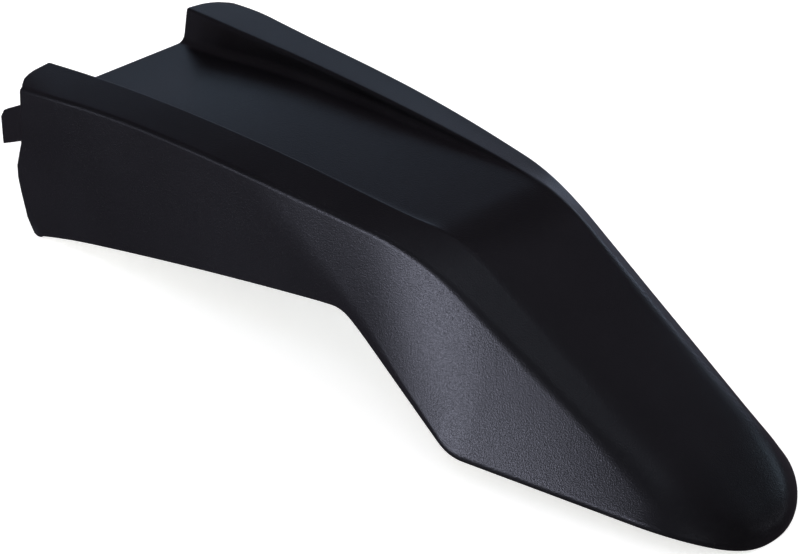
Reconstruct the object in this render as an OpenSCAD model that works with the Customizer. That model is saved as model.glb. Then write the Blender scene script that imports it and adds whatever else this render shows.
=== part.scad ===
// Motorcycle front mudguard: one moulded plastic shell, about 2.5 mm thick all over.
// At the rear a channel floor lies between two hollow raised rails. The rails run out
// at the knee into a sloping tongue with flared sides and a rounded nose.
// Lengths run along +X from the rear edge to the nose, and heights are measured from
// the surface that the nose and the two rear corners rest on.

/* [Overall] */
// Length from the rear edge of the channel floor to the nose
length = 450; // [440:1:480]
// Outer width across the side walls at the rear edge
rear_w = 142; // [136:1:150]
// Wall thickness of the moulding
wall = 2.5; // [2:0.1:3]

/* [Rails] */
// Height of the rail crests at the rear edge
crest_rear_h = 86.5; // [82:0.5:92]
// Height that the rail crests arch up to between the rear edge and the knee
crest_arch_h = 100.5; // [98:0.5:106]
// Distance between the two crests at the rear edge
crest_rear_w = 90; // [86:1:94]
// Distance between the two crests at the knee
crest_knee_w = 61.6; // [58:0.2:66]
// Distance between the two crests at the end of the tongue
crest_nose_w = 51; // [46:1:54]
// Height of the outer edge of the rail tops at the rear edge
shoulder_rear_h = 84; // [80:0.5:88]
// Height that the outer edge of the rail tops arches up to
shoulder_arch_h = 96.5; // [93:0.5:98]
// Width across the outer edges of the rail tops at the knee
shoulder_knee_w = 91; // [87:1:95]
// Width across the outer edges of the rail tops at the end of the tongue
shoulder_nose_w = 67; // [62:1:70]
// Softness of the crests, as the distance from the corner where the curve begins
crest_soft = 1.6; // [1:0.1:2.4]
// Softness of the outer edge of the rail tops
shoulder_soft = 2.4; // [1.5:0.1:3.5]

/* [Channel] */
// Depth of the channel floor below the crests at the rear edge
channel_rear_d = 18.5; // [14:0.5:20]
// Depth of the channel floor below the crests halfway to the knee
channel_mid_d = 10.5; // [8:0.5:12]
// How far the foot of a channel wall stands in, as a share of its depth
channel_draft = 0.18; // [0.1:0.01:0.25]
// Softness of the foot of the channel walls
channel_soft = 4.5; // [3:0.5:6]

/* [Tongue] */
// Distance from the rear edge to the knee of the crests
knee_x = 289; // [280:1:294]
// Height of the crests at the knee
knee_h = 97; // [94:0.5:100]
// Distance from the rear edge to the knee of the rail tops' outer edges
shoulder_knee_x = 272; // [262:1:274]
// Height of the rail tops' outer edges at their knee
shoulder_knee_h = 92.5; // [91:0.5:95]
// Height of the crests where the nose begins
crest_nose_h = 35.1; // [33:0.1:37]
// Height of the rail tops' outer edges where the nose begins
shoulder_nose_h = 27.2; // [25:0.1:29]
// Softness of the fold at the foot of the channel walls where it runs out on the tongue
tongue_channel_soft = 8; // [6:0.5:9]
// Softness of the crests on the tongue
tongue_crest_soft = 4.5; // [3:0.5:6]
// Softness of the rail tops' outer edges on the tongue
tongue_shoulder_soft = 4; // [3:0.5:6]
// Softness of the crests on the nose
nose_crest_soft = 12; // [8:0.5:12]
// Softness of the rail tops' outer edges on the nose
nose_shoulder_soft = 9; // [6:0.5:10]
// Rise of the tongue's middle above its crests
tongue_crown = 1.5; // [0.5:0.1:3]
// Length of the rounded nose
nose_l = 41; // [36:1:46]
// Squareness of the nose in plan, where 2 is an ellipse
nose_square = 2.4; // [2:0.1:2.8]

/* [Side walls and flare] */
// Distance from the rear edge to the waist, where the lower edge turns down
waist_x = 235; // [230:1:242]
// Outer width across the side walls at the waist
waist_w = 114.6; // [110:0.2:120]
// Height of the lower edge at the waist
waist_h = 49; // [43:0.5:49]
// Height that the lower edge reaches halfway between the rear corner and the waist
edge_arch_h = 29.5; // [27:0.5:33]
// Distance from the rear edge to the widest place of the flare
flare_x = 316; // [312:1:322]
// Outer width across the flare at its widest place
flare_w = 136; // [128:1:140]
// Height of the lower edge at the widest place
flare_h = 11; // [10:0.5:14]
// Width across the flared sides where the nose begins
rim_nose_w = 91; // [86:1:94]
// Height of the lower edge where the nose begins
rim_nose_h = 10; // [8:0.5:12]
// Height of the upright lip below the flare
lip_h = 2.5; // [2.5:0.1:3.5]
// Distance from the rear edge to the place where the flare starts on the side walls
flare_start_x = 165; // [155:1:175]
// Softness of the crease between flare and lip
flare_soft = 1.2; // [0.8:0.1:2]
// Softness of the crease on the side walls, where it fades out towards the rear
wall_soft = 8; // [6:0.5:9]

/* [Rear edge] */
// Set-back of the side walls' rear edge at its top
rear_top_back = 8.6; // [6:0.2:11]
// Set-back of the side walls' rear edge at its foot
rear_foot_back = 8.2; // [6:0.2:11]
// Height of the rearmost place on the side walls' rear edge
rear_bulge_h = 30; // [26:1:34]
// Radius of the rear lower corners
rear_corner_r = 6; // [4:0.5:8]
// Width of the rear edge that runs straight across between the two corners that step back
rear_straight_w = 108; // [100:1:116]

/* [Lugs] */
// Reach of each lug behind the rear edge
lug_reach = 13; // [10:0.5:18]
// Height of the upper corner of a lug at its tip
lug_tip_h = 62; // [59:0.5:65]
// Depth of a lug at its tip
lug_tip_d = 19; // [16:0.5:21]
// Angle that a lug slopes down at towards its tip
lug_a = 29; // [20:1:34]
// Slope of a lug's lower edge, as a share of the slope of its upper edge
lug_taper = 0.85; // [0.7:0.05:1]
// Chamfer of the upper corner at a lug's tip
lug_chamfer = 3; // [2:0.5:4]
// Thickness of a lug
lug_t = 3.4; // [3:0.1:4]
// Distance that the outer face of a lug stands in from the side wall
lug_inset = 2; // [1.4:0.1:2.2]
// Length of lug that is moulded onto the side wall
lug_root = 20; // [16:0.5:24]

/* [Screw bosses] */
// Distance from the rear edge to the first pair of bosses
boss_x = 62; // [56:1:68]
// Spacing of the bosses along the rails
boss_pitch_x = 86; // [80:1:92]
// Spacing of the bosses across the mudguard
boss_pitch_y = 100; // [98:0.5:102]
// Height of the bosses' lower faces
boss_h = 72; // [68:0.5:76]
// Outer diameter of a boss
boss_d = 10; // [9:0.5:11]
// Diameter of the blind hole for a self-tapping screw
pilot_d = 4.2; // [3.8:0.1:4.6]
// Depth of the blind hole
pilot_depth = 12; // [10:0.5:13]
// Thickness of the webs that brace the bosses
web_t = 1.8; // [1.5:0.1:2.2]
// Depth of the webs below the rail tops
web_d = 14; // [10:0.5:16]

/* [Hidden] */
plastic = [0.11, 0.11, 0.12];
origin_x = (length - lug_reach) / 2;
nose_x = length - nose_l;

// Distance that a cut runs past the face it opens in
cut = 1;
// Steps of the loft: points on each soft corner and on the side wall, and rings on the nose
corner_steps = 3;
wall_shares = [0.14, 0.3, 0.46, 0.62, 0.77, 0.89, 0.96];
nose_steps = 10;
nose_last_a = 88.2;
// Steps round the bosses and their holes
boss_steps = 48;
pilot_steps = 32;
// Half the length of loft with closer rings at the waist, the knee and the flare
waist_zone = 12;
knee_zone = 20;
flare_zone = 10;
// Distance from the rear edge over which its set-back fades out
rear_fade = 60;
// Height that the rearmost place on the side walls' rear edge fades into the step above it
bulge_step_h = 20;
// Distances in from the side wall between which the set-back of the top becomes the side's
side_blend = [4, 1];
// Stretches over which softness and widths change: floor to tongue, rail to tongue, tongue to
// nose, and side wall to flare
floor_span = [knee_x - 42, knee_x + 38];
tongue_span = [knee_x - 4, knee_x + 61];
nose_span = [nose_x - 49, nose_x + 26];
flare_span = [waist_x - 35, waist_x + 55];
// How far the channel's foot moves in on the tongue, as a share of the crests' half-width
tongue_foot_in = 0.45;
// Heights that the crests and the rail tops' outer edges head for at the nose's tip, as shares
// of their height above the lip where the nose begins
crest_tip_share = 0.06;
shoulder_tip_share = -0.33;
// Place of the flare's crease on the side wall, as a share of the wall's height from its top
crease_share = 0.12;
// Height over which the flare's crease bends from the side wall into its slope
crease_bend_h = 5;

function mix(a, b, share) = a + (b - a) * share;
function ease(a, b, x) = let (s = min(1, max(0, (x - a) / (b - a)))) s * s * (3 - 2 * s);
function ease_over(span, x) = ease(span[0], span[1], x);
function total(values) = values * [for (v = values) 1];
function unit(v) = v / norm(v);

// A guide is a row of knots [x, value, blend]. It is straight between its knots and bends
// along a parabola over the blend distance on each side of an inner knot.
function slope(guide, i) = (guide[i + 1][1] - guide[i][1]) / (guide[i + 1][0] - guide[i][0]);
function bend(guide, i, x) =
    let (reach = guide[i][2])
    let (off = abs(x - guide[i][0]))
    off < reach ? (slope(guide, i) - slope(guide, i - 1)) * pow(reach - off, 2) / (4 * reach) : 0;
function straight(guide, x) = lookup(x, [for (knot = guide) [knot[0], knot[1]]]);
function along(guide, x) =
    straight(guide, x) + total([for (i = [1 : len(guide) - 2]) bend(guide, i, x)]);

// Heights of the guides
crest_h = [
    [0, crest_rear_h],
    [0.43 * knee_x, crest_arch_h, 0.43 * knee_x],
    [knee_x, knee_h, 20],
    [nose_x, crest_nose_h, 5],
    [length, mix(rim_nose_h + lip_h, crest_nose_h, crest_tip_share)]
];
shoulder_h = [
    [0, shoulder_rear_h],
    [0.41 * shoulder_knee_x, shoulder_arch_h, 0.4 * shoulder_knee_x],
    [shoulder_knee_x, shoulder_knee_h, 26],
    [nose_x, shoulder_nose_h, 5],
    [length, mix(rim_nose_h + lip_h, shoulder_nose_h, shoulder_tip_share)]
];
edge_h = [
    [rear_foot_back, 0],
    [0.55 * waist_x, edge_arch_h, 0.42 * waist_x],
    [waist_x, waist_h, 7],
    [flare_x, flare_h, 7],
    [nose_x, rim_nose_h, 5],
    [length, rim_nose_h]
];

// Depth of the channel floor below the crests, which turns into the tongue's crown
channel_d = [
    [0, channel_rear_d],
    [0.09 * knee_x, 0.96 * channel_rear_d, 0.07 * knee_x],
    [0.31 * knee_x, channel_mid_d, 0.15 * knee_x],
    [0.71 * knee_x, 0.43 * channel_mid_d, 0.17 * knee_x],
    [0.9 * knee_x, 0.08 * channel_mid_d, 0.1 * knee_x],
    [1.11 * knee_x, -tongue_crown, 0.1 * knee_x],
    [length, -tongue_crown]
];

// Half-widths of the guides
crest_y = [
    [0, crest_rear_w / 2],
    [0.17 * knee_x, mix(crest_rear_w, crest_knee_w, 0.29) / 2, 0.1 * knee_x],
    [0.57 * knee_x, mix(crest_rear_w, crest_knee_w, 0.64) / 2, 0.2 * knee_x],
    [0.83 * knee_x, mix(crest_rear_w, crest_knee_w, 0.76) / 2, 0.1 * knee_x],
    [1.04 * knee_x, crest_knee_w / 2, 0.1 * knee_x],
    [mix(knee_x, nose_x, 0.72), mix(crest_knee_w, crest_nose_w, 0.7) / 2, 0.28 * (nose_x - knee_x)],
    [length, crest_nose_w / 2]
];
shoulder_y = [
    [0, rear_w / 2],
    [0.11 * shoulder_knee_x, mix(rear_w, shoulder_knee_w, 0.04) / 2, 0.05 * shoulder_knee_x],
    [0.28 * shoulder_knee_x, mix(rear_w, shoulder_knee_w, 0.28) / 2, 0.11 * shoulder_knee_x],
    [0.7 * shoulder_knee_x, mix(rear_w, shoulder_knee_w, 0.54) / 2, 0.17 * shoulder_knee_x],
    [0.92 * shoulder_knee_x, mix(rear_w, shoulder_knee_w, 0.79) / 2, 0.05 * shoulder_knee_x],
    [1.07 * shoulder_knee_x, shoulder_knee_w / 2, 0.05 * shoulder_knee_x],
    [length, shoulder_nose_w / 2]
];
edge_y = [
    [0, rear_w / 2],
    [waist_x, waist_w / 2, 20],
    [flare_x, flare_w / 2, 8],
    [nose_x, rim_nose_w / 2, 5],
    [length, mix(flare_w, rim_nose_w, (length - flare_x) / (nose_x - flare_x)) / 2]
];

// Set-back of the rear edge over its height
rear_back = [
    [0, rear_foot_back],
    [rear_bulge_h, 0, 6],
    [rear_bulge_h + 0.45 * bulge_step_h, 0.1 * rear_top_back, 4],
    [rear_bulge_h + bulge_step_h, 0.7 * rear_top_back, 6],
    [shoulder_rear_h, rear_top_back]
];

// Share of the full width that is left at x, from 1 before the nose to 0 at its tip
function nose_share(x) =
    let (u = min(1, max(0, (x - nose_x) / nose_l)))
    pow(1 - pow(u, nose_square), 1 / nose_square);

// Height of the crease line that runs from the rail tops down to the widest place
function crease_h(x, low, high) =
    let (upper = mix(high, low, crease_share))
    let (top_h = along(shoulder_h, flare_start_x))
    let (line = mix(top_h, flare_h + lip_h, (x - flare_start_x) / (flare_x - flare_start_x)))
    let (gap = upper - line)
    let (soft_line = (upper + line - sqrt(gap * gap + pow(crease_bend_h, 2))) / 2)
    max(low + lip_h, soft_line);

// Corners of the half section at x: middle, foot, crest, shoulder, crease and lower edge
function corners(x) =
    let (share = nose_share(x))
    let (low = along(edge_h, x) * share * share)
    let (rim = low + lip_h)
    let (crest = along(crest_h, x))
    let (shoulder = along(shoulder_h, x))
    let (depth = along(channel_d, x))
    let (crest_w = along(crest_y, x))
    let (foot_in = tongue_foot_in * crest_w * ease_over(floor_span, x))
    let (foot_w = crest_w - channel_draft * max(depth, 0) - foot_in)
    let (shoulder_w = along(shoulder_y, x))
    let (edge_w = along(edge_y, x))
    let (crease = x < flare_x ? crease_h(x, low, shoulder) : rim)
    let (on_wall = mix(shoulder_w, edge_w, (shoulder - crease) / (shoulder - low)))
    let (crease_w = mix(on_wall, edge_w, ease(flare_start_x, waist_x, x)))
    let (base = x < flare_x ? 0 : rim)
    [
        [x, 0, mix(base, crest - depth, share)],
        [x, foot_w * share, mix(base, crest - depth, share)],
        [x, crest_w * share, mix(base, crest, share)],
        [x, shoulder_w * share, mix(base, shoulder, share)],
        [x, crease_w * share, crease],
        [x, edge_w * share, low]
    ];

// Softness of the four inner corners at x
function softness(x) =
    let (to_tongue = ease_over(tongue_span, x))
    let (to_nose = ease_over(nose_span, x))
    [
        mix(channel_soft, tongue_channel_soft, ease_over(floor_span, x)),
        mix(mix(crest_soft, tongue_crest_soft, to_tongue), nose_crest_soft, to_nose),
        mix(mix(shoulder_soft, tongue_shoulder_soft, to_tongue), nose_shoulder_soft, to_nose),
        mix(wall_soft, flare_soft, ease_over(flare_span, x))
    ];

// Directions of the guides at x, by a short step back
function guide_directions(x) =
    let (step = min(0.5, 0.2 * (length - x) + 0.002))
    let (here = corners(x))
    let (back = corners(x - step))
    [for (i = [0 : 5]) unit(here[i] - back[i])];

// Outward normals of the five strips of the half section, at the strip's first and last corner
function strip_normal(direction, a, b) = unit(cross(direction, b - a));
function inner_corners(x) =
    let (c = corners(x))
    let (d = guide_directions(x))
    let (first = [for (i = [0 : 4]) strip_normal(d[i], c[i], c[i + 1])])
    let (last = [for (i = [0 : 4]) strip_normal(d[i + 1], c[i], c[i + 1])])
    [
        c[0] - wall * unit([first[0][0], 0, first[0][2]]),
        for (i = [1 : 4]) c[i] - wall * (last[i - 1] + first[i]) / (1 + last[i - 1] * first[i]),
        c[5] - wall * last[4]
    ];

// A soft corner: a parabola that leaves the two straight sides at the given distance
function soft_corner(a, c, b, reach) =
    let (start = c + unit(a - c) * min(reach, 0.48 * norm(a - c)))
    let (end = c + unit(b - c) * min(reach, 0.48 * norm(b - c)))
    [
        for (i = [0 : corner_steps])
            let (t = i / corner_steps)
            start * pow(1 - t, 2) + c * 2 * t * (1 - t) + end * t * t
    ];
function half_row(c, soft) =
    let (bends = [for (i = [1 : 4]) soft_corner(c[i - 1], c[i], c[i + 1], soft[i - 1])])
    [
        c[0],
        for (points = bends) each points,
        for (share = wall_shares) mix(bends[3][corner_steps], c[5], share),
        c[5]
    ];

// Change of softness on the inner side: convex corners get sharper and the foot rounder
function turn(a, c, b) = acos(min(1, max(-1, unit(c - a) * unit(b - c))));
function inner_softness(c, soft) = [
    for (i = [1 : 4])
        let (change = wall * tan(turn(c[i - 1], c[i], c[i + 1]) / 2))
        let (convex = cross(c[i] - c[i - 1], c[i + 1] - c[i])[0] < 0)
        max(0.4, soft[i - 1] + (convex ? -change : change))
];

// Set-back of the rear edge at a point of the half section, which fades out towards the knee
function set_back(p, low, x) =
    let (past = max(0, (p[1] - rear_straight_w / 2) / (rear_w / 2 - rear_straight_w / 2)))
    let (on_top = rear_top_back * pow(past, 2))
    let (on_side = along(rear_back, p[2] - low))
    let (side = ease(rear_w / 2 - side_blend[0], rear_w / 2 - side_blend[1], p[1]))
    let (corner = max(0, rear_corner_r - (p[2] - low)))
    let (round = rear_corner_r - sqrt(pow(rear_corner_r, 2) - pow(corner, 2)))
    let (fade = pow(max(0, 1 - x / rear_fade), 2))
    mix(on_top, on_side, side) * fade + round * max(0, 1 - x / (2 * rear_corner_r));

// One ring of the shell: the outer row from side to side, then the inner row back
function both_sides(half) = [
    for (i = [len(half) - 1 : -1 : 1]) [half[i][0], -half[i][1], half[i][2]],
    each half
];
function backwards(row) = [for (i = [len(row) - 1 : -1 : 0]) row[i]];
function ring(x) =
    let (c = corners(x))
    let (soft = softness(x))
    let (outer = half_row(c, soft))
    let (inner = half_row(inner_corners(x), inner_softness(c, soft)))
    let (moves = [for (p = outer) [x < rear_fade ? set_back(p, c[5][2], x) : 0, 0, 0]])
    concat(
        both_sides([for (i = [0 : len(outer) - 1]) outer[i] + moves[i]]),
        backwards(both_sides([for (i = [0 : len(inner) - 1]) inner[i] + moves[i]]))
    );

// Places of the rings, closer together where the guides bend
function steps(a, b, count) = [for (i = [0 : count - 1]) mix(a, b, i / count)];
stations = concat(
    steps(0, 2 * rear_corner_r, 3),
    steps(2 * rear_corner_r, waist_x - waist_zone, 10),
    steps(waist_x - waist_zone, waist_x + waist_zone, 5),
    steps(waist_x + waist_zone, knee_x + knee_zone, 7),
    steps(knee_x + knee_zone, flare_x + flare_zone, 4),
    steps(flare_x + flare_zone, nose_x, 6),
    [for (i = [0 : nose_steps]) nose_x + nose_l * sin(nose_last_a * i / nose_steps)]
);

// Skin of the moulding as one closed surface
module shell() {
    rings = [for (x = stations) ring(x)];
    around = len(rings[0]);
    row = around / 2;
    last = len(rings) - 1;
    sides = [
        for (i = [0 : last - 1], j = [0 : around - 1])
            let (a = i * around + j)
            let (b = i * around + (j + 1) % around)
            each [[a, b, b + around], [a, b + around, a + around]]
    ];
    rear_end = [
        for (j = [0 : row - 2])
            let (a = j)
            let (b = around - 1 - j)
            each [[a, b, b - 1], [a, b - 1, a + 1]]
    ];
    middle = (row - 1) / 2;
    front = last * around;
    front_end = [
        for (start = [front, front + row]) each [
            for (j = [0 : middle - 3])
                let (a = start + j)
                let (b = start + row - 1 - j)
                each [[a, a + 1, b - 1], [a, b - 1, b]],
            [start + middle - 2, start + middle - 1, start + middle],
            [start + middle - 2, start + middle, start + middle + 2],
            [start + middle, start + middle + 1, start + middle + 2]
        ],
        [front, front + row - 1, front + row],
        [front, front + row, front + around - 1]
    ];
    polyhedron(
        points = [for (r = rings) each r],
        faces = concat(sides, rear_end, front_end),
        convexity = 10
    );
}

// Lug that reaches back from the inside of a side wall, with a chamfered upper corner
module lug() {
    drop = tan(lug_a);
    rise = (lug_reach + lug_root) * drop;
    low_h = lug_tip_h - lug_tip_d;
    outer_y = rear_w / 2 - lug_inset;
    translate([0, outer_y, 0])
        rotate([90, 0, 0])
            linear_extrude(height = lug_t)
                polygon([
                    [-lug_reach, low_h],
                    [lug_root, low_h + rise * lug_taper],
                    [lug_root, lug_tip_h + rise],
                    [-lug_reach + lug_chamfer, lug_tip_h + lug_chamfer * drop],
                    [-lug_reach, lug_tip_h - lug_chamfer]
                ]);
}

// Mid height of the rail top's wall over a boss
function boss_top(c) =
    mix(c[2][2], c[3][2], (boss_pitch_y / 2 - c[2][1]) / (c[3][1] - c[2][1])) - wall / 2;

// Web across the hollow of a rail, from the channel wall to the side wall
module web(c) {
    foot_h = boss_top(c) - web_d;
    side_y = mix(c[4][1], c[5][1], (c[4][2] - foot_h) / (c[4][2] - c[5][2]));
    translate([c[0][0] - web_t / 2, 0, 0])
        rotate([90, 0, 90])
            linear_extrude(height = web_t)
                polygon([
                    [c[1][1] + wall / 2, c[1][2] - wall / 2],
                    [c[2][1] + wall / 2, c[2][2] - wall / 2],
                    [c[3][1] - wall / 2, c[3][2] - wall / 2],
                    [side_y - wall / 2, foot_h]
                ]);
}

// Screw boss with its web and a blind hole that opens downwards
module boss(x) {
    c = corners(x);
    difference() {
        union() {
            translate([x, boss_pitch_y / 2, boss_h])
                cylinder(h = boss_top(c) - boss_h, d = boss_d, $fn = boss_steps);
            web(c);
        }
        translate([x, boss_pitch_y / 2, boss_h - cut])
            cylinder(h = pilot_depth + cut, d = pilot_d, $fn = pilot_steps);
    }
}

module mudguard() {
    color(plastic)
        translate([-origin_x, 0, 0])
            union() {
                shell();
                for (side = [0, 1])
                    mirror([0, side, 0]) {
                        lug();
                        for (i = [0, 1])
                            boss(boss_x + i * boss_pitch_x);
                    }
            }
}

mudguard();
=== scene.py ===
import bmesh
import bpy
import math
import numpy as np
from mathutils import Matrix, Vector


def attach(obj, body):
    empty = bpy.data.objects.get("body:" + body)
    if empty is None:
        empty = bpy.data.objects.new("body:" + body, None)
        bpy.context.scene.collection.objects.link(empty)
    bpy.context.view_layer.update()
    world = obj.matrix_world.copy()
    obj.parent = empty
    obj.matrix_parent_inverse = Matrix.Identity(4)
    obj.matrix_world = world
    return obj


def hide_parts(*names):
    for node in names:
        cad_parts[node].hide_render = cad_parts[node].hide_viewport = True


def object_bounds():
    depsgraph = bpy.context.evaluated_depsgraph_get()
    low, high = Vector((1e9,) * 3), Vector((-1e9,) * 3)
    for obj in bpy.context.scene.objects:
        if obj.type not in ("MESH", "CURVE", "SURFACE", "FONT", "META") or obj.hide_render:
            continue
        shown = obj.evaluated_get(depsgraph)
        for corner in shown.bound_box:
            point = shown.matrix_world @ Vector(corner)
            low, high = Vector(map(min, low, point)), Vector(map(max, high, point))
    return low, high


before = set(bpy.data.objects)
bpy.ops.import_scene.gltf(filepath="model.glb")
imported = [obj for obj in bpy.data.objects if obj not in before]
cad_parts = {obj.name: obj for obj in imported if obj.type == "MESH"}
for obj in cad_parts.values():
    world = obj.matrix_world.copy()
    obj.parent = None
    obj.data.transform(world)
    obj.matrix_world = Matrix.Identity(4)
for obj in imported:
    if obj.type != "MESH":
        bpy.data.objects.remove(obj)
cad_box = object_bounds()

# Sizes in millimetres, as in the part's source. x runs from the rear edge to the nose.
LENGTH = 450.0
REAR_W = 142.0
WALL = 2.5
CREST_REAR_H, CREST_ARCH_H = 86.5, 100.5
CREST_REAR_W, CREST_KNEE_W, CREST_NOSE_W = 90.0, 61.6, 51.0
SHOULDER_REAR_H, SHOULDER_ARCH_H = 84.0, 96.5
SHOULDER_KNEE_W, SHOULDER_NOSE_W = 91.0, 67.0
CREST_SOFT, SHOULDER_SOFT = 1.6, 2.4
CHANNEL_REAR_D, CHANNEL_MID_D = 18.5, 10.5
CHANNEL_DRAFT, CHANNEL_SOFT = 0.18, 4.5
KNEE_X, KNEE_H = 289.0, 97.0
SHOULDER_KNEE_X, SHOULDER_KNEE_H = 272.0, 92.5
CREST_NOSE_H, SHOULDER_NOSE_H, TONGUE_CROWN = 35.1, 27.2, 1.5
TONGUE_SOFT = {"channel": 8.0, "crest": 4.5, "shoulder": 4.0}
NOSE_SOFT = {"crest": 12.0, "shoulder": 9.0}
NOSE_L, NOSE_SQUARE = 41.0, 2.4
WAIST_X, WAIST_W, WAIST_H = 235.0, 114.6, 49.0
EDGE_ARCH_H = 29.5
FLARE_X, FLARE_W, FLARE_H = 316.0, 136.0, 11.0
RIM_NOSE_W, RIM_NOSE_H = 91.0, 10.0
LIP_H, FLARE_START_X, FLARE_SOFT, WALL_SOFT = 2.5, 165.0, 1.2, 8.0
REAR_TOP_BACK, REAR_FOOT_BACK = 8.6, 8.2
REAR_BULGE_H, REAR_CORNER_R, REAR_FADE = 30.0, 6.0, 60.0
REAR_STRAIGHT_W, BULGE_STEP_H = 108.0, 20.0
LUG_REACH, LUG_TIP_H, LUG_TIP_D = 13.0, 62.0, 19.0
LUG_A, LUG_TAPER, LUG_CHAMFER = 29.0, 0.85, 3.0
LUG_T, LUG_INSET, LUG_ROOT = 3.4, 2.0, 20.0
BOSS_X, BOSS_PITCH_X, BOSS_PITCH_Y = 62.0, 86.0, 100.0
BOSS_H, BOSS_D, PILOT_D, PILOT_DEPTH = 72.0, 10.0, 4.2, 12.0
WEB_T, WEB_D = 1.8, 14.0
NOSE_X = LENGTH - NOSE_L
ORIGIN_X = (LENGTH - LUG_REACH) / 2

# Stretches of x over which softness and widths change
FLOOR_SPAN = (KNEE_X - 42, KNEE_X + 38)
TONGUE_SPAN = (KNEE_X - 4, KNEE_X + 61)
NOSE_SPAN = (NOSE_X - 49, NOSE_X + 26)
FLARE_SPAN = (WAIST_X - 35, WAIST_X + 55)
# Distances in from the side wall between which the set-back of the top becomes the side's
SIDE_BLEND = (4, 1)
# How far the channel's foot moves in on the tongue, as a share of the crests' half-width
TONGUE_FOOT_IN = 0.45
# Heights that crest and shoulder head for at the tip, as shares of their height above the lip
CREST_TIP_SHARE, SHOULDER_TIP_SHARE = 0.06, -0.33
# Place of the flare's crease, as a share of the wall's height from its top, and its bend
CREASE_SHARE, CREASE_BEND_H = 0.12, 5

# Steps of the mesh: points on a soft corner, and steps on each flat from the middle outward
OUTER_BENDS, OUTER_FLATS = 8, (6, 3, 5, 9, 9)
INNER_BENDS, INNER_FLATS = 4, (5, 2, 3, 6, 6)
BOSS_SIDES = 48
# The most that a soft corner takes of a side, and the least softness on the inside
SOFT_SHARE, INNER_SOFT_MIN = 0.48, 0.4
# Rounded edge of the wall: radius, the most that it takes of the edge's width, and its angles
RIM_R, RIM_SHARE = 0.5, 0.45
RIM_TURNS = np.radians((0, 30, 60, 90))
# Points that hold the shading flat: distance from the end of a flat and the most of its length
HOLD, HOLD_SHARE = 0.35, 0.2
RIM_HOLD, RIM_HOLD_SHARE = RIM_R + 0.3, 0.65
# Rings on the nose, and the last one's angle on the outside and the inside
NOSE_STEPS, NOSE_LAST_A, NOSE_LAST_A_IN = 40, 89.6, 88.2
# Edges that turn by more than this many radians are bevelled, by these many millimetres
BEVEL_FROM, LUG_BEVEL, WEB_BEVEL = 0.5, 0.5, 0.35


def mix(a, b, share):
    return a + (b - a) * share


def ease(a, b, x):
    s = min(1.0, max(0.0, (x - a) / (b - a)))
    return s * s * (3 - 2 * s)


# Guides: rows of knots (x, value, blend), straight between knots and bent at the inner ones.
# K and S are short for the places of the crests' knee and the shoulders' knee.
K, S = KNEE_X, SHOULDER_KNEE_X
CREST_H = [
    (0, CREST_REAR_H), (0.43 * K, CREST_ARCH_H, 0.43 * K), (K, KNEE_H, 20),
    (NOSE_X, CREST_NOSE_H, 5),
    (LENGTH, mix(RIM_NOSE_H + LIP_H, CREST_NOSE_H, CREST_TIP_SHARE))]
SHOULDER_H = [
    (0, SHOULDER_REAR_H), (0.41 * S, SHOULDER_ARCH_H, 0.4 * S), (S, SHOULDER_KNEE_H, 26),
    (NOSE_X, SHOULDER_NOSE_H, 5),
    (LENGTH, mix(RIM_NOSE_H + LIP_H, SHOULDER_NOSE_H, SHOULDER_TIP_SHARE))]
CHANNEL_D = [
    (0, CHANNEL_REAR_D), (0.09 * K, 0.96 * CHANNEL_REAR_D, 0.07 * K),
    (0.31 * K, CHANNEL_MID_D, 0.15 * K), (0.71 * K, 0.43 * CHANNEL_MID_D, 0.17 * K),
    (0.9 * K, 0.08 * CHANNEL_MID_D, 0.1 * K), (1.11 * K, -TONGUE_CROWN, 0.1 * K),
    (LENGTH, -TONGUE_CROWN)]
EDGE_H = [
    (REAR_FOOT_BACK, 0), (0.55 * WAIST_X, EDGE_ARCH_H, 0.42 * WAIST_X), (WAIST_X, WAIST_H, 7),
    (FLARE_X, FLARE_H, 7), (NOSE_X, RIM_NOSE_H, 5), (LENGTH, RIM_NOSE_H)]
CREST_Y = [
    (0, CREST_REAR_W / 2),
    (0.17 * K, mix(CREST_REAR_W, CREST_KNEE_W, 0.29) / 2, 0.1 * K),
    (0.57 * K, mix(CREST_REAR_W, CREST_KNEE_W, 0.64) / 2, 0.2 * K),
    (0.83 * K, mix(CREST_REAR_W, CREST_KNEE_W, 0.76) / 2, 0.1 * K),
    (1.04 * K, CREST_KNEE_W / 2, 0.1 * K),
    (mix(K, NOSE_X, 0.72), mix(CREST_KNEE_W, CREST_NOSE_W, 0.7) / 2, 0.28 * (NOSE_X - K)),
    (LENGTH, CREST_NOSE_W / 2)]
SHOULDER_Y = [
    (0, REAR_W / 2),
    (0.11 * S, mix(REAR_W, SHOULDER_KNEE_W, 0.04) / 2, 0.05 * S),
    (0.28 * S, mix(REAR_W, SHOULDER_KNEE_W, 0.28) / 2, 0.11 * S),
    (0.7 * S, mix(REAR_W, SHOULDER_KNEE_W, 0.54) / 2, 0.17 * S),
    (0.92 * S, mix(REAR_W, SHOULDER_KNEE_W, 0.79) / 2, 0.05 * S),
    (1.07 * S, SHOULDER_KNEE_W / 2, 0.05 * S),
    (LENGTH, SHOULDER_NOSE_W / 2)]
EDGE_Y = [
    (0, REAR_W / 2), (WAIST_X, WAIST_W / 2, 20), (FLARE_X, FLARE_W / 2, 8),
    (NOSE_X, RIM_NOSE_W / 2, 5),
    (LENGTH, mix(FLARE_W, RIM_NOSE_W, (LENGTH - FLARE_X) / (NOSE_X - FLARE_X)) / 2)]
# Set-back of the rear edge over its height
REAR_BACK = [
    (0, REAR_FOOT_BACK), (REAR_BULGE_H, 0, 6),
    (REAR_BULGE_H + 0.45 * BULGE_STEP_H, 0.1 * REAR_TOP_BACK, 4),
    (REAR_BULGE_H + BULGE_STEP_H, 0.7 * REAR_TOP_BACK, 6),
    (SHOULDER_REAR_H, REAR_TOP_BACK)]


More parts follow.
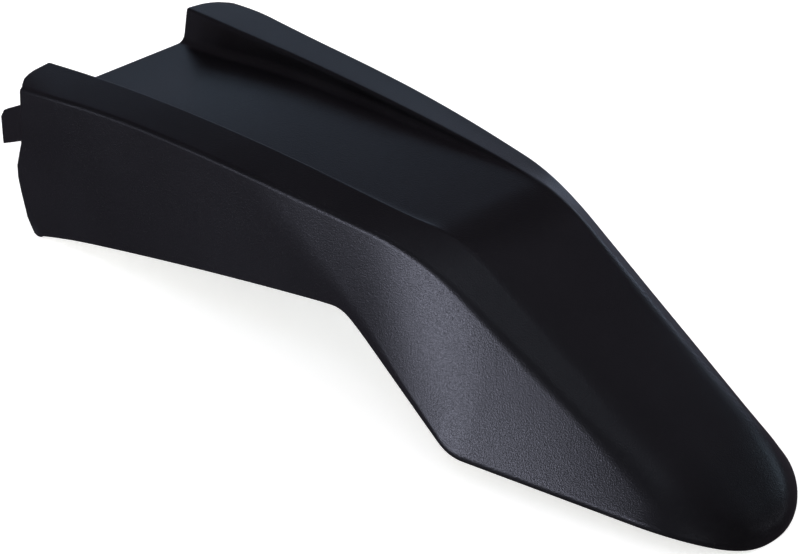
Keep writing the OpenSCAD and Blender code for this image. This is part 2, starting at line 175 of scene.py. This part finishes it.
def along(guide, x):
    """Value of a guide at x."""
    value = float(np.interp(x, [k[0] for k in guide], [k[1] for k in guide]))
    for before, knot, after in zip(guide, guide[1:], guide[2:]):
        off = abs(x - knot[0])
        if off < knot[2]:
            rise = (after[1] - knot[1]) / (after[0] - knot[0])
            rise -= (knot[1] - before[1]) / (knot[0] - before[0])
            value += rise * (knot[2] - off) ** 2 / (4 * knot[2])
    return value


def crease_height(x, low, high):
    """Height of the crease that runs from the rail tops down to the widest place."""
    upper = mix(high, low, CREASE_SHARE)
    top_h = along(SHOULDER_H, FLARE_START_X)
    line = mix(top_h, FLARE_H + LIP_H, (x - FLARE_START_X) / (FLARE_X - FLARE_START_X))
    gap = upper - line
    return max(low + LIP_H, (upper + line - math.sqrt(gap * gap + CREASE_BEND_H ** 2)) / 2)


def corners(x):
    """Half section at x: middle, foot, crest, shoulder, crease and lower edge."""
    u = min(1.0, max(0.0, (x - NOSE_X) / NOSE_L))
    share = (1 - u ** NOSE_SQUARE) ** (1 / NOSE_SQUARE)
    low = along(EDGE_H, x) * share * share
    rim = low + LIP_H
    crest, shoulder, depth = along(CREST_H, x), along(SHOULDER_H, x), along(CHANNEL_D, x)
    crest_w = along(CREST_Y, x)
    foot_in = TONGUE_FOOT_IN * crest_w * ease(*FLOOR_SPAN, x)
    foot_w = crest_w - CHANNEL_DRAFT * max(depth, 0) - foot_in
    shoulder_w, edge_w = along(SHOULDER_Y, x), along(EDGE_Y, x)
    crease = crease_height(x, low, shoulder) if x < FLARE_X else rim
    on_wall = mix(shoulder_w, edge_w, (shoulder - crease) / (shoulder - low))
    crease_w = mix(on_wall, edge_w, ease(FLARE_START_X, WAIST_X, x))
    base = 0 if x < FLARE_X else rim
    return np.array([
        (x, 0, mix(base, crest - depth, share)),
        (x, foot_w * share, mix(base, crest - depth, share)),
        (x, crest_w * share, mix(base, crest, share)),
        (x, shoulder_w * share, mix(base, shoulder, share)),
        (x, crease_w * share, crease),
        (x, edge_w * share, low)])


def softness(x):
    """How far each of the four inner corners is softened at x."""
    to_tongue, to_nose = ease(*TONGUE_SPAN, x), ease(*NOSE_SPAN, x)
    crest = mix(CREST_SOFT, TONGUE_SOFT["crest"], to_tongue)
    shoulder = mix(SHOULDER_SOFT, TONGUE_SOFT["shoulder"], to_tongue)
    return [
        mix(CHANNEL_SOFT, TONGUE_SOFT["channel"], ease(*FLOOR_SPAN, x)),
        mix(crest, NOSE_SOFT["crest"], to_nose),
        mix(shoulder, NOSE_SOFT["shoulder"], to_nose),
        mix(WALL_SOFT, FLARE_SOFT, ease(*FLARE_SPAN, x))]


def unit(v):
    return v / np.linalg.norm(v)


def inner_corners(x):
    """The corners moved in by the wall thickness, with the guides' directions at x."""
    c = corners(x)
    step = min(0.5, 0.2 * (LENGTH - x) + 0.002)
    d = [unit(v) for v in c - corners(x - step)]
    first = [unit(np.cross(d[i], c[i + 1] - c[i])) for i in range(5)]
    last = [unit(np.cross(d[i + 1], c[i + 1] - c[i])) for i in range(5)]
    inner = [c[0] - WALL * unit(np.array((first[0][0], 0, first[0][2])))]
    for i in range(1, 5):
        inner.append(c[i] - WALL * (last[i - 1] + first[i]) / (1 + last[i - 1] @ first[i]))
    inner.append(c[5] - WALL * last[4])
    return np.array(inner)


def soft_corner(a, c, b, reach, count):
    """A parabola that rounds the corner c between its neighbours a and b."""
    start = c + unit(a - c) * min(reach, SOFT_SHARE * np.linalg.norm(a - c))
    end = c + unit(b - c) * min(reach, SOFT_SHARE * np.linalg.norm(b - c))
    t = np.linspace(0, 1, count + 1)[:, None]
    return start * (1 - t) ** 2 + c * 2 * t * (1 - t) + end * t * t


def flat_run(a, b, count, end_hold=HOLD, end_share=HOLD_SHARE):
    """Points strictly between a and b, with one close to each end to hold the shading flat."""
    size = max(np.linalg.norm(b - a), 1e-6)
    first = min(HOLD / size, HOLD_SHARE)
    last = 1 - min(end_hold / size, end_share)
    return a + (b - a) * np.linspace(first, last, count + 1)[:, None]


def half_row(c, soft, bend_count, flat_counts):
    """Half section from the middle to the lower edge, with its four inner corners softened."""
    bends = [soft_corner(c[i - 1], c[i], c[i + 1], soft[i - 1], bend_count) for i in range(1, 5)]
    rows = [c[:1], flat_run(c[0], bends[0][0], flat_counts[0])[1:]]
    for bend, following, count in zip(bends, bends[1:], flat_counts[1:]):
        rows += [bend, flat_run(bend[-1], following[0], count)]
    lip = flat_run(bends[-1][-1], c[5], flat_counts[-1], RIM_HOLD, RIM_HOLD_SHARE)
    return np.concatenate(rows + [bends[-1], lip, c[5:]])


def inner_softness(c, soft):
    """Softness of the inner corners that keeps the wall even round the soft outer ones."""
    made = []
    for i in range(1, 5):
        a, b = unit(c[i] - c[i - 1]), unit(c[i + 1] - c[i])
        change = WALL * math.tan(math.acos(min(1, max(-1, a @ b))) / 2)
        convex = np.cross(a, b)[0] < 0
        made.append(max(INNER_SOFT_MIN, soft[i - 1] + (-change if convex else change)))
    return made


def set_back(p, low, x):
    """How far the rear edge stands forward of x = 0 at a point of the section."""
    if x >= REAR_FADE:
        return 0.0
    half, straight = REAR_W / 2, REAR_STRAIGHT_W / 2
    on_top = REAR_TOP_BACK * max(0, (p[1] - straight) / (half - straight)) ** 2
    on_side = along(REAR_BACK, p[2] - low)
    side = ease(half - SIDE_BLEND[0], half - SIDE_BLEND[1], p[1])
    corner = max(0, REAR_CORNER_R - (p[2] - low))
    rounding = REAR_CORNER_R - math.sqrt(REAR_CORNER_R ** 2 - min(corner, REAR_CORNER_R) ** 2)
    fade = max(0, 1 - x / REAR_FADE) ** 2
    return mix(on_top, on_side, side) * fade + rounding * max(0, 1 - x / (2 * REAR_CORNER_R))


def nearest(row, points):
    """The point of row that is nearest to each of points."""
    return np.array([row[np.argmin(((row - p) ** 2).sum(1))] for p in points])


def rim_turn(end, above, across, r):
    """A rounded quarter from one face of the wall, between above and end, onto its edge."""
    up = unit(above - end)
    return [end + across * r * (1 - math.cos(a)) + up * r * (1 - math.sin(a)) for a in RIM_TURNS]


def half_loop(x, x_inner, inset):
    """Outer half row, the rounded rim and the inner half row, from middle to middle."""
    c = corners(x)
    low = c[5][2]
    outer = half_row(c, softness(x), OUTER_BENDS, OUTER_FLATS)
    inner_soft = inner_softness(corners(x_inner), softness(x_inner))
    inner = half_row(inner_corners(x_inner), inner_soft, INNER_BENDS, INNER_FLATS)
    outer[:, 0] += np.array([set_back(p, low, x) for p in outer])
    inner[:, 0] += np.array([set_back(p + (0, WALL, 0), low, x) for p in inner])
    if inset > 0:
        across_from_outer, across_from_inner = nearest(inner, outer), nearest(outer, inner)
        outer = outer + (across_from_outer - outer) * (inset / WALL)
        inner = inner + (across_from_inner - inner) * (inset / WALL)
    across = inner[-1] - outer[-1]
    wide = np.linalg.norm(across)
    across /= max(wide, 1e-6)
    r = min(RIM_R, RIM_SHARE * wide)
    rim = rim_turn(outer[-1], outer[-2], across, r)
    back = rim_turn(inner[-1], inner[-2], -across, r)[::-1]
    return np.concatenate([outer[:-1], rim, back, inner[:-1][::-1]])


def stations():
    """Places of the rings as (x, x for the inner side, inset of the rounded rear edge)."""
    made = []
    for a in RIM_TURNS[:-1]:
        x = RIM_R * (1 - math.cos(a))
        made.append((x, x, RIM_R * (1 - math.sin(a))))
    # Stretches as (from, to, distance between rings), closer at the rear, the waist and the flare
    spans = [
        (RIM_R, 12, 1.6), (12, 60, 3), (60, WAIST_X - 12, 4),
        (WAIST_X - 12, WAIST_X + 14, 1.8), (WAIST_X + 14, FLARE_X - 12, 3),
        (FLARE_X - 12, FLARE_X + 12, 1.5), (FLARE_X + 12, NOSE_X, 3)]
    for a, b, step in spans:
        for x in np.linspace(a, b, max(2, round((b - a) / step)), endpoint=False):
            made.append((float(x), float(x), 0.0))
    for i in range(NOSE_STEPS + 1):
        angle = math.radians(NOSE_LAST_A * i / NOSE_STEPS)
        angle_in = angle * NOSE_LAST_A_IN / NOSE_LAST_A
        x, x_inner = NOSE_X + NOSE_L * math.sin(angle), NOSE_X + NOSE_L * math.sin(angle_in)
        made.append((x, x_inner, 0.0))
    return made


def strip(points, first, second):
    """Triangles between two rows of point numbers, always across the shorter diagonal."""
    faces, i, j = [], 0, 0
    while i < len(first) - 1 or j < len(second) - 1:
        step_i = i < len(first) - 1 and (
            j == len(second) - 1
            or np.linalg.norm(points[first[i + 1]] - points[second[j]])
            <= np.linalg.norm(points[first[i]] - points[second[j + 1]]))
        if step_i:
            faces.append((first[i], first[i + 1], second[j]))
            i += 1
        else:
            faces.append((first[i], second[j + 1], second[j]))
            j += 1
    return faces


def build_shell():
    """Points and faces of the whole skin: rings of both halves, closed at the rear and the nose."""
    halves = [half_loop(*s) for s in stations()]
    count = len(halves[0])
    around = 2 * count - 2
    rings = [np.concatenate([half, half[1:-1][::-1] * (1, -1, 1)]) for half in halves]
    points = np.concatenate(rings)
    faces = []
    for i in range(len(rings) - 1):
        for j in range(around):
            a, b = i * around + j, i * around + (j + 1) % around
            faces.append((a, a + around, b + around, b))

    def mirror_of(row):
        return [(around - j) % around for j in row]

    # Rear face of the wall, between the outer and the inner points of the first ring
    heights = halves[0][:, 2]
    half_at = int(np.argmax(heights < heights.min() + 1e-6)) + 1
    outer, inner = list(range(half_at)), list(range(count - 1, half_at - 1, -1))
    faces += [f[::-1] for f in strip(points, outer, inner)]
    faces += strip(points, mirror_of(outer), mirror_of(inner))
    # Tip of the nose, in bands across from one half to the other. The end bands are triangles.
    last = (len(rings) - 1) * around
    for j in range(count - 1):
        band = dict.fromkeys((j, j + 1, around - j - 1, (around - j) % around))
        faces.append(tuple(last + k for k in band))
    return points, faces


def prism(outline, low, high, axis):
    """A plate with that outline. Axis "x" has outline (y, z), and axis "y" has outline (x, z)."""
    points = []
    for level in (low, high):
        for u, v in outline:
            points.append((level, u, v) if axis == "x" else (u, level, v))
    n = len(outline)
    faces = [tuple(range(n)), tuple(range(2 * n - 1, n - 1, -1))]
    faces += [(i, i + n, (i + 1) % n + n, (i + 1) % n) for i in range(n)]
    return points, faces


def turned(profile, x, y, sides):
    """A form turned about the upright axis at (x, y) from (radius, height) points."""
    points, faces = [], []
    for r, z in profile:
        for k in range(sides):
            a = 2 * math.pi * k / sides
            points.append((x + r * math.cos(a), y + r * math.sin(a), z))
    for i in range(len(profile) - 1):
        for k in range(sides):
            a, b = i * sides + k, i * sides + (k + 1) % sides
            faces.append((a, b, b + sides, a + sides))
    faces.append(tuple(range(sides))[::-1])
    faces.append(tuple(range((len(profile) - 1) * sides, len(profile) * sides)))
    return points, faces


def boss_top(c):
    """Height in the middle of the rail's top wall, above the bosses."""
    share = (BOSS_PITCH_Y / 2 - c[2][1]) / (c[3][1] - c[2][1])
    return mix(c[2][2], c[3][2], share) - WALL / 2


def boss_profile(top):
    """From the bottom of the blind hole, round the mouth and up the outside to the root."""
    r, bore, hole_top = BOSS_D / 2, PILOT_D / 2, BOSS_H + PILOT_DEPTH
    hole = [(0.02, hole_top + 0.6), (bore - 0.15, hole_top), (bore, hole_top - 0.2)]
    mouth = [(bore, BOSS_H + 0.45), (bore + 0.1, BOSS_H + 0.2), (bore + 0.35, BOSS_H)]
    edge = [(r - 0.5, BOSS_H), (r - 0.15, BOSS_H + 0.15), (r, BOSS_H + 0.5)]
    root = [(r, top - 5), (r + 0.15, top - 3.6), (r + 0.6, top - 2.4), (r + 1.5, top - 1.2)]
    return hole + mouth + edge + root


def web_outline(c):
    """Corners (y, z) of the plate that joins a boss to the rail, in the middle of the walls."""
    foot_h = boss_top(c) - WEB_D
    side_y = mix(c[4][1], c[5][1], (c[4][2] - foot_h) / (c[4][2] - c[5][2]))
    h = WALL / 2
    return [(c[1][1] + h, c[1][2] - h), (c[2][1] + h, c[2][2] - h), (c[3][1] - h, c[3][2] - h),
            (side_y - h, foot_h)]


def lug_outline():
    """Corners (x, z) of a lug, from its tip to the root inside the side wall."""
    drop = math.tan(math.radians(LUG_A))
    rise, low = (LUG_REACH + LUG_ROOT) * drop, LUG_TIP_H - LUG_TIP_D
    return [(-LUG_REACH, low), (LUG_ROOT, low + rise * LUG_TAPER), (LUG_ROOT, LUG_TIP_H + rise),
            (-LUG_REACH + LUG_CHAMFER, LUG_TIP_H + LUG_CHAMFER * drop),
            (-LUG_REACH, LUG_TIP_H - LUG_CHAMFER)]


def placed(p):
    """A point of the shared frame in metres, kept inside the CAD model's box."""
    spot = ((p[0] - ORIGIN_X) / 1000, p[1] / 1000, p[2] / 1000)
    return [min(max(v, low), high) for v, low, high in zip(spot, cad_box[0], cad_box[1])]


def linked(name, data):
    """A new object with that data, in the scene."""
    obj = bpy.data.objects.new(name, data)
    bpy.context.scene.collection.objects.link(obj)
    return obj


def make(name, pieces, bevel=0.0):
    """One mesh object at the origin from (points, faces) pairs in millimetres."""
    mesh = bpy.data.meshes.new(name)
    built = bmesh.new()
    for points, faces in pieces:
        verts = [built.verts.new(placed(p)) for p in points]
        for f in faces:
            built.faces.new([verts[int(i)] for i in f])
    bmesh.ops.recalc_face_normals(built, faces=built.faces)
    if bevel:
        sharp = [e for e in built.edges if e.is_manifold and e.calc_face_angle() > BEVEL_FROM]
        bmesh.ops.bevel(
            built, geom=sharp, offset=bevel / 1000, segments=3, profile=0.5, affect="EDGES")
    for f in built.faces:
        f.smooth = True
    built.to_mesh(mesh)
    built.free()
    return linked(name, mesh)


def both_sides(pieces):
    """The pieces and their mirror images on the other side."""
    return pieces + [([(p[0], -p[1], p[2]) for p in points], faces) for points, faces in pieces]


lug_y = REAR_W / 2 - LUG_INSET
lugs = [prism(lug_outline(), lug_y - LUG_T, lug_y, "y")]
bosses, webs = [], []
for boss_x in (BOSS_X, BOSS_X + BOSS_PITCH_X):
    section = corners(boss_x)
    profile = boss_profile(boss_top(section))
    bosses.append(turned(profile, boss_x, BOSS_PITCH_Y / 2, BOSS_SIDES))
    webs.append(prism(web_outline(section), boss_x - WEB_T / 2, boss_x + WEB_T / 2, "x"))
shell = make("mudguard_shell", [build_shell()])
lug_pair = make("mudguard_lugs", both_sides(lugs), LUG_BEVEL)
boss_set = make("mudguard_bosses", both_sides(bosses))
web_set = make("mudguard_webs", both_sides(webs), WEB_BEVEL)

# Plastic: the two ends of its tone and roughness, and its patterns in cells per metre
TONES = ((0.0024, 0.0025, 0.0031, 1), (0.0038, 0.0039, 0.0048, 1))
ROUGHNESS = (0.31, 0.41)
CLOUD_SCALE, GRAIN_SCALE, PIT_SCALE = 22, 2200, 1700
# Share of the fine noise in the bump beside the pits, and the bump's strength and height
GRAIN_SHARE, BUMP_STRENGTH, BUMP_H = 0.6, 0.65, 0.00012
# Part of the noise's range that is spread over a tone or roughness
NOISE_RANGE = (0.3, 0.7)


def plastic():
    """Matt black moulded plastic with a fine grain."""
    mat = bpy.data.materials.new("grained_black_plastic")
    mat.use_nodes = True
    nodes, links = mat.node_tree.nodes, mat.node_tree.links
    shader = nodes["Principled BSDF"]
    shader.inputs["Specular IOR Level"].default_value = 0.22
    shader.inputs["IOR"].default_value = 1.5
    place = nodes.new("ShaderNodeTexCoord")

    def noise(scale, detail):
        node = nodes.new("ShaderNodeTexNoise")
        node.inputs["Scale"].default_value = scale
        node.inputs["Detail"].default_value = detail
        links.new(place.outputs["Object"], node.inputs["Vector"])
        return node.outputs["Fac"]

    def spread(source, low, high):
        node = nodes.new("ShaderNodeMapRange")
        sockets = ("From Min", "From Max", "To Min", "To Max")
        for socket, value in zip(sockets, (*NOISE_RANGE, low, high)):
            node.inputs[socket].default_value = value
        links.new(source, node.inputs["Value"])
        return node.outputs["Result"]

    cloud = noise(CLOUD_SCALE, 3)
    grain = noise(GRAIN_SCALE, 1)
    pits = nodes.new("ShaderNodeTexVoronoi")
    pits.feature = "SMOOTH_F1"
    pits.inputs["Scale"].default_value = PIT_SCALE
    links.new(place.outputs["Object"], pits.inputs["Vector"])
    tone = nodes.new("ShaderNodeMix")
    tone.data_type = "RGBA"
    tone.inputs["A"].default_value, tone.inputs["B"].default_value = TONES
    links.new(spread(cloud, 0, 1), tone.inputs["Factor"])
    links.new(tone.outputs["Result"], shader.inputs["Base Color"])
    links.new(spread(grain, *ROUGHNESS), shader.inputs["Roughness"])
    height = nodes.new("ShaderNodeMath")
    height.operation = "MULTIPLY_ADD"
    height.inputs[1].default_value = GRAIN_SHARE
    links.new(grain, height.inputs[0])
    links.new(pits.outputs["Distance"], height.inputs[2])
    bump = nodes.new("ShaderNodeBump")
    bump.inputs["Strength"].default_value = BUMP_STRENGTH
    bump.inputs["Distance"].default_value = BUMP_H
    links.new(height.outputs["Value"], bump.inputs["Height"])
    links.new(bump.outputs["Normal"], shader.inputs["Normal"])
    return mat


finish = plastic()
for piece in (shell, lug_pair, boss_set, web_set):
    piece.data.materials.append(finish)
    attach(piece, "root")
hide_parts("mudguard")

# Floor in metres: radius of its flat part, radius of the bend, height of the wall, sides round it
FLOOR_R, FLOOR_BEND, FLOOR_TOP, FLOOR_SIDES = 3.5, 1.5, 4.5, 96
FLOOR_RINGS, BEND_RINGS = 4, 12


def floor_material():
    """A pale floor that glows a little, as a light table does."""
    mat = bpy.data.materials.new("pale_floor")
    mat.use_nodes = True
    shader = mat.node_tree.nodes["Principled BSDF"]
    shader.inputs["Base Color"].default_value = (0.9, 0.9, 0.88, 1)
    shader.inputs["Roughness"].default_value = 0.9
    shader.inputs["Specular IOR Level"].default_value = 0.1
    shader.inputs["Emission Color"].default_value = (1, 1, 0.98, 1)
    shader.inputs["Emission Strength"].default_value = 0.58
    return mat


def sweep():
    """A round floor that curves up into a wall, as (points, faces) in metres."""
    rings = [(FLOOR_R * k / FLOOR_RINGS, 0) for k in range(1, FLOOR_RINGS + 1)]
    for k in range(1, BEND_RINGS + 1):
        a = math.pi / 2 * k / BEND_RINGS
        rings.append((FLOOR_R + FLOOR_BEND * math.sin(a), FLOOR_BEND - FLOOR_BEND * math.cos(a)))
    rings.append((FLOOR_R + FLOOR_BEND, FLOOR_TOP))
    turns = [2 * math.pi * k / FLOOR_SIDES for k in range(FLOOR_SIDES)]
    points = [(0, 0, 0)] + [(r * math.cos(a), r * math.sin(a), z) for r, z in rings for a in turns]
    faces = [(0, 1 + k, 1 + (k + 1) % FLOOR_SIDES) for k in range(FLOOR_SIDES)]
    for i in range(len(rings) - 1):
        for k in range(FLOOR_SIDES):
            a, b = 1 + i * FLOOR_SIDES + k, 1 + i * FLOOR_SIDES + (k + 1) % FLOOR_SIDES
            faces.append((a, a + FLOOR_SIDES, b + FLOOR_SIDES, b))
    return points, faces


floor_mesh = bpy.data.meshes.new("floor")
floor_points, floor_faces = sweep()
floor_mesh.from_pydata(floor_points, [], floor_faces)
for polygon in floor_mesh.polygons:
    polygon.use_smooth = True
floor = linked("floor", floor_mesh)
floor.data.materials.append(floor_material())
# The plastic mirrors the dim room instead of the floor, as in the photograph.
floor.visible_glossy = False

# Place that the lamps face
AIM = Vector((0, 0, 0.05))


def softbox(name, azimuth, elevation, size, power, colour, distance=1.8):
    """An area lamp that the camera doesn't see. Azimuth 0 is the near side, -Y."""
    a, e = math.radians(azimuth), math.radians(elevation)
    back = Vector((math.sin(a) * math.cos(e), -math.cos(a) * math.cos(e), math.sin(e)))
    light = bpy.data.lights.new(name, "AREA")
    light.shape = "RECTANGLE"
    light.size, light.size_y = size
    light.energy, light.color = power, colour
    obj = linked(name, light)
    obj.location = AIM + back * distance
    obj.rotation_mode = "QUATERNION"
    obj.rotation_quaternion = (-back).to_track_quat("-Z", "Y")
    obj.visible_camera = False


softbox("overhead", 0, 89, (2.4, 2.4), 8, (0.82, 0.81, 1.0), distance=2.2)
softbox("front_left", -22, 0.2, (0.4, 0.1), 7, (0.77, 0.80, 1.0))
softbox("front", -13, 0.8, (0.35, 0.12), 16, (0.78, 0.80, 1.0))
softbox("front_high", 18, 58, (0.5, 0.5), 1.9, (0.76, 0.85, 1.0))
softbox("rear_end", -127, 12, (0.9, 0.3), 0.8, (0.52, 0.74, 1.0))
softbox("back_left", -145, 3, (0.6, 0.15), 0.4, (0.6, 0.75, 1.0))
softbox("back_low", -163, 3, (0.6, 0.15), 1.4, (0.6, 0.75, 1.0))
softbox("back", 160, 20, (0.5, 0.4), 2.6, (0.6, 0.8, 1.0))
softbox("back_high", 172, 50, (0.5, 0.5), 0.5, (0.86, 0.77, 1.0))
softbox("right_low", 135, 6, (0.6, 0.2), 0.8, (0.8, 0.85, 1.0))
softbox("right", 50, 13, (0.4, 0.3), 1.5, (0.8, 0.85, 1.0))

# A dim room
world = bpy.data.worlds.new("studio")
bpy.context.scene.world = world
world.use_nodes = True
room = world.node_tree.nodes["Background"]
room.inputs["Color"].default_value = (0.99, 0.78, 1.0, 1)
room.inputs["Strength"].default_value = 0.095

# Camera fitted to the photograph's edges
camera = linked("camera", bpy.data.cameras.new("camera"))
camera.rotation_mode = "QUATERNION"
camera.location = (0.891411564, -0.830702284, 0.769373001)
camera.rotation_quaternion = (0.7994411644, 0.4496958311, 0.1990872538, 0.3450097818)
camera.data.sensor_width = 36
camera.data.lens = 133.319438
camera.data.clip_start, camera.data.clip_end = 0.01, 50
bpy.context.scene.camera = camera
bpy.context.scene.view_settings.view_transform = "Standard"
